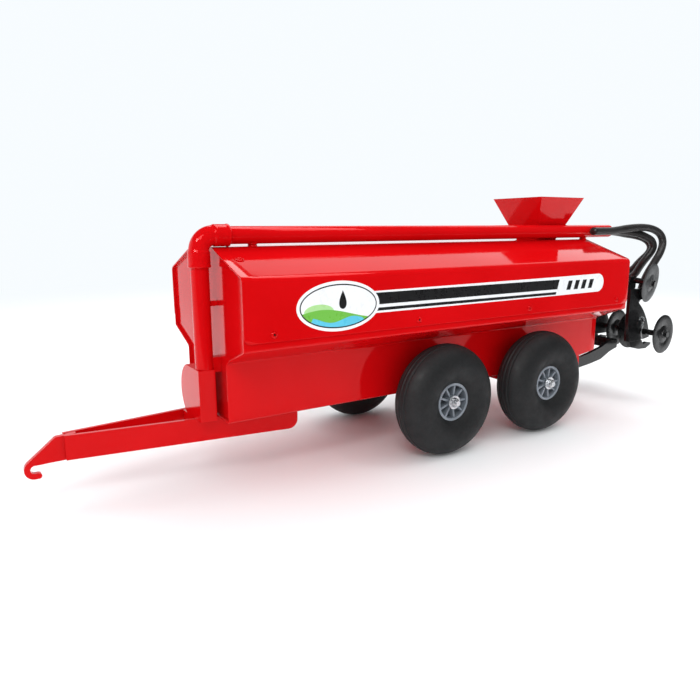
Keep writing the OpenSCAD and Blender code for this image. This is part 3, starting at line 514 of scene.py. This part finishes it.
# ---- Axles and pins ----
# The axle rods, spacers, washers and lift pins are bright zinc-plated steel.
# The rods are threaded through the beams under the hull.
zinc_plate, shader = new_material("zinc_plate", (0.62, 0.63, 0.65), 0.25, {"Metallic": 1.0})
mottled_colour(shader, 260, (0.5, 0.51, 0.54), (0.72, 0.73, 0.74))
noise_into(shader, "Roughness", 500, 0.18, 0.4)
bumps(shader, [(900, 0.12, 0.0002)], edge=0.0003)
finish_nodes(["front_axle_rod", "rear_axle_rod", "axle_spacers", "axle_washers", "lift_pins"], zinc_plate)

# ---- Toolbar frame ----
# The lift arms, the mast, the beam and the shanks are bar and plate.
# They are welded up and sprayed gloss black, with the sockets and pads that hold the hoses.
black_enamel, shader = new_material("black_enamel", (0.006, 0.006, 0.0065), 0.16)
mottled_colour(shader, 40, (0.0045, 0.0045, 0.005), (0.009, 0.009, 0.0095))
noise_into(shader, "Roughness", 320, 0.12, 0.24)
bumps(shader, [(30, 0.04, 0.0008)], edge=0.0004)
finish_nodes(["left_lift_arm", "right_lift_arm", "lift_tie", "toolbar_mast", "toolbar_beam", "left_shank",
              "centre_shank", "right_shank", "shank_feet", "shank_bolts", "hose_sockets", "disc_axles",
              "upper_disc_arms", "hose_pads"], black_enamel)


# ---- Rivets ----
# Blind rivets join the cover to the shell along both sides, four to a side and painted over.
# Each head is a low dome, and the broken stem shows in its hole. The stem is coloured near black, which paints
# the shade in the hole.
def gathered(name, pieces):
    """One object with the points and faces of all these pieces, which it takes the place of."""
    points, faces, start = [], [], 0
    for piece in pieces:
        co = np.empty(len(piece.data.vertices) * 3)
        piece.data.vertices.foreach_get("co", co)
        points.append(co.reshape(-1, 3))
        faces += [[start + k for k in polygon.vertices] for polygon in piece.data.polygons]
        start += len(piece.data.vertices)
        bpy.data.objects.remove(piece)
    return solid_mesh(name, np.vstack(points), faces)


rivet_x, rivet_run, rivet_z, rivets_a_side = 23.5 * mm, 400.5 * mm, 127.5 * mm, 4
rivet_spots = [
    (tank_front + rivet_x + rivet_run * k / (rivets_a_side - 1), side * side_half, rivet_z)
    for side in (-1, 1) for k in range(rivets_a_side)
]


def at_each_rivet(name, profile, steps):
    """One piece with this profile turned at every rivet, facing out of the tank's side."""
    return gathered(name, [
        turned("rivet", profile, spot, (0, math.copysign(1, spot[1]), 0), steps, solid=True)
        for spot in rivet_spots
    ])


head_profile = np.array([
    (-0.2, 0.02), (-0.2, 2.55), (0.15, 2.6), (0.5, 2.5), (0.95, 2.1),
    (1.3, 1.55), (1.4, 1.25), (1.25, 1.05), (0.3, 0.9), (0.2, 0.02),
]) * mm
rivets = at_each_rivet("rivet_heads", head_profile, 40)
rivets.data.materials.append(red_enamel)
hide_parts("cover_rivets")
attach(rivets, "wagon")

# The stem's near-black colour is painted shade for the hole in each rivet head, laid over a real stem piece.
stem_and_hole_shade, shader = new_material("stem_and_hole_shade", (0.05, 0.012, 0.012), 0.45, {"Metallic": 0.6})
mottled_colour(shader, 900, (0.03, 0.006, 0.006), (0.08, 0.02, 0.02))
noise_into(shader, "Roughness", 700, 0.35, 0.6)
stem_profile = np.array([(0.1, 0.02), (0.1, 0.84), (0.55, 0.84), (0.7, 0.7), (0.75, 0.02)]) * mm
stems = at_each_rivet("rivet_stems", stem_profile, 24)
stems.data.materials.append(stem_and_hole_shade)
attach(stems, "wagon")

# ---- Plug welds ----
# Plug welds on the upper slopes hold the end plates.
# They are painted over, and each shows as two low uneven rings.
slope_out = (0.338, 0.941)
weld_xs, weld_y, weld_z, weld_half = (12 * mm, 432 * mm), 50 * mm, 180.5 * mm, 0.65 * mm
wave = np.linspace(0, 2 * math.pi, 14, endpoint=False)
marks = []
for side in (-1, 1):
    for weld_x in weld_xs:
        for radius, height in ((3.1 * mm, 0.75 * mm), (1.4 * mm, 0.8 * mm)):
            loop = np.stack([height * np.cos(wave), radius + weld_half * np.sin(wave)], 1)
            spot = (tank_front + weld_x, side * weld_y, weld_z)
            marks.append(turned("mark", loop, spot, (0, side * slope_out[0], slope_out[1]), 40))
welds = gathered("plug_welds", marks)
welds.data.materials.append(red_enamel)
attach(welds, "wagon")

# ---- Elbow ----
# The elbow is a glued plastic fitting, sprayed with the pipe.
# It has two sockets with a beaded rim each, and a slimmer bend between them.
riser_lo, riser_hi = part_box("riser_pipe")
pipe_lo, pipe_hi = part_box("overhead_pipe")
riser_x = (riser_lo.x + riser_hi.x) / 2
pipe_y, pipe_z = (pipe_lo.y + pipe_hi.y) / 2, (pipe_lo.z + pipe_hi.z) / 2
elbow_r, socket_l, socket_r = pipe_lo.x - riser_x, 12 * mm, 8.5 * mm
neck_in, lip_h, collar_h = 0.8 * mm, 0.35 * mm, 0.4 * mm
swing = np.linspace(math.pi, math.pi / 2, 26)
stretch = np.linspace(0, 1, 20)
bend_x = riser_x + elbow_r + elbow_r * np.cos(swing)
bend_z = pipe_z - elbow_r + elbow_r * np.sin(swing)
elbow_route = np.vstack([
    np.stack([np.full(20, riser_x), np.full(20, pipe_y), riser_hi.z - socket_l + socket_l * stretch], 1),
    np.stack([bend_x, np.full(26, pipe_y), bend_z], 1)[1:-1],
    np.stack([pipe_lo.x + socket_l * stretch, np.full(20, pipe_y), np.full(20, pipe_z)], 1),
])
gone = np.concatenate([[0], np.cumsum(np.linalg.norm(np.diff(elbow_route, axis=0), axis=1))])
from_end = np.minimum(gone, gone[-1] - gone)
lip = np.exp(-(((from_end - 1.1 * mm) / (0.9 * mm)) ** 4))
neck = 1 / (1 + np.exp(-(from_end - socket_l) / (0.35 * mm)))
collar = np.exp(-(((from_end - socket_l) / (0.7 * mm)) ** 2))
elbow_radius = (socket_r - neck_in * neck + lip_h * lip + collar_h * collar)[:, None]
elbow = closed_skin("elbow_fitting", carried_ring(elbow_route, [elbow_radius * c for c in circle(1, 56)]))
elbow.data.materials.append(red_enamel)
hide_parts("pipe_elbow")
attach(elbow, "wagon")


# ---- Weld beads ----
# Short rippled beads of weld run round the posts under the pipe, on the roof and on the pipe,
# and along the outside of the drawbar's rails where they meet the hull. They are painted over.
def weld_bead(path, bead_r, ripple_pitch):
    """A round bead along a path, with radius bead_r * (1 + 0.22 |sin(pi * distance / ripple_pitch)|).
    It thins at both ends by the square root of 1 - (2 distance / length - 1)^16."""
    route = np.asarray(path, float)
    run = np.concatenate([[0], np.cumsum(np.linalg.norm(np.diff(route, axis=0), axis=1))])
    s = np.linspace(0, run[-1], max(24, int(run[-1] / ripple_pitch * 7)))
    route = np.stack([np.interp(s, run, route[:, k]) for k in range(3)], 1)
    taper = np.sqrt(np.clip(1 - (2 * s / run[-1] - 1) ** 16, 0.02, 1))
    radius = bead_r * (1 + 0.22 * np.abs(np.sin(math.pi * s / ripple_pitch))) * taper
    across = [radius[:, None] * c for c in circle(1, 12)]
    return closed_skin("bead", carried_ring(route, across, up_start=(0.31, 0.2, 0.93)))


saddle_lo, saddle_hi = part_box("pipe_saddles")
post_r, pipe_r = 2.8 * mm, (pipe_hi.z - pipe_lo.z) / 2
post_bead_r, post_ripple, rail_bead_r, rail_ripple = 0.8 * mm, 1.7 * mm, 0.9 * mm, 1.9 * mm
roof_ring_r, pipe_ring_r = post_r + 0.3 * mm, post_r + 0.2 * mm
rail_weld = (6 * mm, 48 * mm)
roof_turn, pipe_turn = np.linspace(0, 2 * math.pi, 60), np.linspace(0, 2 * math.pi, 80)
beads = []
for post_x in (saddle_lo.x + post_r, saddle_hi.x - post_r):
    roof_x, roof_y = post_x - roof_ring_r * np.cos(roof_turn), pipe_y - roof_ring_r * np.sin(roof_turn)
    roof_ring = np.stack([roof_x, roof_y, np.full(len(roof_turn), roof_z)], 1)
    beads.append(weld_bead(roof_ring, post_bead_r, post_ripple))
    pipe_x, around_y = post_x + pipe_ring_r * np.cos(pipe_turn), pipe_y + pipe_ring_r * np.sin(pipe_turn)
    under_z = pipe_z - np.sqrt(pipe_r**2 - (around_y - pipe_y) ** 2)
    beads.append(weld_bead(np.stack([pipe_x, around_y, under_z], 1), post_bead_r, post_ripple))
for rail, outer in (("drawbar_left_rail", 0), ("drawbar_right_rail", 1)):
    rail_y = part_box(rail)[outer].y
    ends = [(tank_front + end, rail_y, shell_lo.z) for end in rail_weld]
    beads.append(weld_bead(ends, rail_bead_r, rail_ripple))
weld_beads = gathered("weld_beads", beads)
weld_beads.data.materials.append(red_enamel)
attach(weld_beads, "wagon")

# ---- Labels ----
# Printed vinyl labels are stuck on both sides: an oval badge with hills, water and a drop,
# and a long stripe that ends in a white tab. Each layer of ink stands a little prouder than the last.
vinyl = {}
for ink, colour in {
    "white": (0.86, 0.88, 0.9), "black": (0.008, 0.008, 0.009), "green": (0.16, 0.5, 0.06),
    "pale_green": (0.42, 0.72, 0.3), "blue": (0.1, 0.55, 0.75),
}.items():
    vinyl[ink], shader = new_material("vinyl_" + ink, colour, 0.3)
    mottled_colour(shader, 35, tuple(0.95 * c for c in colour), colour)
    noise_into(shader, "Roughness", 260, 0.24, 0.36)


def label(name, outline, side, lift, ink):
    """A thin vinyl shape on one side of the tank, from 0.05 mm under its face to lift mm over it.
    Its outline is in millimetres: x from the tank's front edge, and z."""
    p = np.asarray(outline, float) * mm
    n = len(p)
    points = np.vstack([
        np.stack([tank_front + p[:, 0], np.full(n, side * (side_half + d * mm)), p[:, 1]], 1)
        for d in (-0.05, lift)
    ])
    walls = [[k, (k + 1) % n, n + (k + 1) % n, n + k] for k in range(n)]
    faces = [list(range(n))[::-1], [n + k for k in range(n)]] + walls
    piece = solid_mesh(name, points, faces, smooth=False)
    outward(piece)
    piece.data.materials.append(vinyl[ink])
    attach(piece, "wagon")


def oval(cx, cz, a, c, start=0, end=360, n=72):
    """Points of an ellipse with half axes a and c, from one angle to another in degrees."""
    t = np.radians(np.linspace(start, end, n, endpoint=(end - start) < 360))
    return np.stack([cx + a * np.cos(t), cz + c * np.sin(t)], 1)


def landscape(edge, swell):
    """The outline below an edge of the badge's field and a chord between its ends, raised by swell(t)."""
    t = np.linspace(0, 1, 30)
    chord = edge[-1] + (edge[0] - edge[-1]) * t[:, None]
    return np.vstack([edge, (chord + np.stack([0 * t, swell(t)], 1))[1:-1]])


badge, field = (79, 144.6), (33.6, 16.0)
tab_end = oval(390.8, 146.8, 9.2, 9.2, -90, 90, 24)
stripe_base = np.vstack([[(104, 136.6), (330, 137.2)], tab_end, [(330, 155.4), (104, 154.2)]])
hill = landscape(oval(*badge, *field, 195, 322, 40), lambda t: 4.2 * np.sin(math.pi * t**1.4))
water = landscape(oval(*badge, *field, 222, 312, 36), lambda t: 2.2 * np.sin(2.4 * math.pi * t) + 1.0)
t = np.linspace(0, 2 * math.pi, 48, endpoint=False)
drop = np.stack([82 + 4.6 * np.sin(t) * np.sin(t / 2) ** 1.3, 149.5 + 7.2 * np.cos(t)], 1)
bar_start, bar_pitch, bar_w, bar_slant = 342, 11, 6, 3
for side, hand in ((-1, "left"), (1, "right")):
    label(f"stripe_base_{hand}", stripe_base, side, 0.1, "white")
    wide = [(106, 143.4), (328.6, 143.4), (331.4, 152.8), (106, 152.8)]
    label(f"stripe_wide_{hand}", wide, side, 0.14, "black")
    thin = [(106, 138.3), (326.8, 138.3), (327.6, 140.8), (106, 140.8)]
    label(f"stripe_thin_{hand}", thin, side, 0.14, "black")
    for k in range(4):
        foot, top = bar_start + bar_pitch * k, bar_start + bar_pitch * k + bar_slant
        bar = [(foot, 142), (foot + bar_w, 142), (top + bar_w, 151), (top, 151)]
        label(f"tab_bar_{k}_{hand}", bar, side, 0.14, "black")
    label(f"badge_rim_{hand}", oval(*badge, 37.2, 19.4), side, 0.18, "white")
    label(f"badge_line_{hand}", oval(*badge, 34.6, 17.0), side, 0.21, "black")
    label(f"badge_field_{hand}", oval(*badge, *field), side, 0.24, "white")
    label(f"badge_hill_{hand}", hill, side, 0.27, "green")
    label(f"badge_water_{hand}", water, side, 0.3, "blue")
    label(f"badge_drop_{hand}", drop, side, 0.3, "black")
    label(f"badge_far_hill_{hand}", oval(61, 141, 13, 6, 0, 180, 24), side, 0.255, "pale_green")


# ---- Lock nuts ----
# A self-locking nut holds each wheel on its axle rod.
# It is plated steel, with a rounded collar round its nylon ring.
def hexagon_limit(angle, flat):
    """Radius at each angle of a hexagon with inner radius flat: flat / cos(angle to the nearest flat)."""
    return flat / np.cos((angle + math.pi / 6) % (math.pi / 3) - math.pi / 6)


nuts_lo, nuts_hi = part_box("axle_nuts")
nut_t, nut_flat = 4 * mm, 3.64 * mm
nut_profile = np.array([
    (0, 2.45), (0, 3.9), (0.3, 4.25), (2.6, 4.25), (2.95, 3.85),
    (3.0, 3.3), (3.7, 3.2), (4.0, 2.9), (4.0, 2.45),
]) * mm
t = np.linspace(0, 2 * math.pi, 72, endpoint=False)
radius = np.minimum(nut_profile[:, 1:], hexagon_limit(t, nut_flat)[None])
nuts = []
for end in ("front", "rear"):
    rod_lo, rod_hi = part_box(end + "_axle_rod")
    for side in (-1, 1):
        outwards = np.broadcast_to(side * (nuts_hi.y - nut_t + nut_profile[:, :1]), radius.shape)
        x = (rod_lo.x + rod_hi.x) / 2 + radius * np.sin(t)
        z = (rod_lo.z + rod_hi.z) / 2 + radius * np.cos(t)
        nuts.append(closed_skin("nut", np.stack([x, outwards, z], -1), wrap=True))
lock_nuts = gathered("lock_nuts", nuts)
lock_nuts.data.polygons.foreach_set("use_smooth", [False] * len(lock_nuts.data.polygons))
lock_nuts.data.materials.append(zinc_plate)
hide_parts("axle_nuts")
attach(lock_nuts, "wagon")

# ---- Springs ----
# A torsion spring of plated wire sits beside each shank, and its leg reaches down to the shank's foot.
# Sizes here are in millimetres, with x from the tank's front edge.
coil_x, coil_z, coil_r, wire_r = 506.5, 94.5, 4.9, 0.6
coil_turns, coil_end_angle, coil_gap, coil_l = 3.5, -65, 1.1, 2.5
leg_gap = 1.4
coils = []
for unit_y, q in ((-60, 1), (0, -1), (60, -1)):
    lap = np.linspace(0, 1, 150)
    sweep = np.radians(coil_end_angle - 360 * coil_turns * (1 - lap))
    sideways = unit_y + q * coil_gap - q * coil_l * lap
    coil = np.stack([coil_x + coil_r * np.cos(sweep), sideways, coil_z + coil_r * np.sin(sweep)], 1)
    leg_y = unit_y - q * leg_gap
    leg = [(509.3, leg_y, 88.5), (506.8, leg_y, 82), (508.6, leg_y, 75), (509.5, leg_y, 74)]
    wire = np.vstack([coil, smooth_route([coil[-1], *leg], 6)[1:]]) * mm + np.array([tank_front, 0, 0])
    coils.append(closed_skin("coil", carried_ring(wire, circle(wire_r * mm, 12))))
springs = gathered("torsion_springs", coils)
springs.data.materials.append(zinc_plate)
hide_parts("shank_springs")
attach(springs, "toolbar")

# ---- Discs ----
# The coulter discs are stamped steel with a bevelled edge and a rolled ring that stiffens the middle.
# The lower ones are painted black and the upper ones left a dark grey, and each turns on its own stub axle.
disc_black, shader = new_material("disc_black", (0.006, 0.006, 0.0065), 0.3)
mottled_colour(shader, 80, (0.0045, 0.0045, 0.005), (0.009, 0.009, 0.0095))
noise_into(shader, "Roughness", 200, 0.22, 0.4)
bumps(shader, [(500, 0.04, 0.0002)])
disc_grey, shader = new_material("disc_grey", (0.045, 0.047, 0.049), 0.42)
mottled_colour(shader, 120, (0.036, 0.038, 0.04), (0.054, 0.056, 0.058))
noise_into(shader, "Roughness", 240, 0.34, 0.52)
bumps(shader, [(700, 0.05, 0.0002)])
disc_profile = np.array([
    (-2.0, 2.06), (-2.0, 4.5), (-1.6, 4.9), (-0.3, 5.0), (0.05, 5.3), (0.05, 9.2), (-0.25, 9.8), (-0.25, 10.4),
    (0.1, 11.0), (0.1, 20.6), (0.55, 22.45), (0.8, 22.5), (1.05, 22.45), (1.5, 20.6), (1.5, 11.0), (1.2, 10.4),
    (1.2, 9.8), (1.6, 9.2), (1.6, 5.3), (1.9, 5.0), (3.2, 4.9), (3.6, 4.5), (3.6, 2.06),
]) * mm
disc_joints = [joint for joint in frame["joints"] if joint["child"].endswith("_disc")]
for joint in disc_joints:
    disc = joint["child"]
    upper = "upper" in disc
    blade = turned(disc + "_blade", disc_profile, joint["pos_m"], joint["axis"], 96)
    blade.data.materials.append(disc_grey if upper else disc_black)
    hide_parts(disc)
    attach(blade, disc)
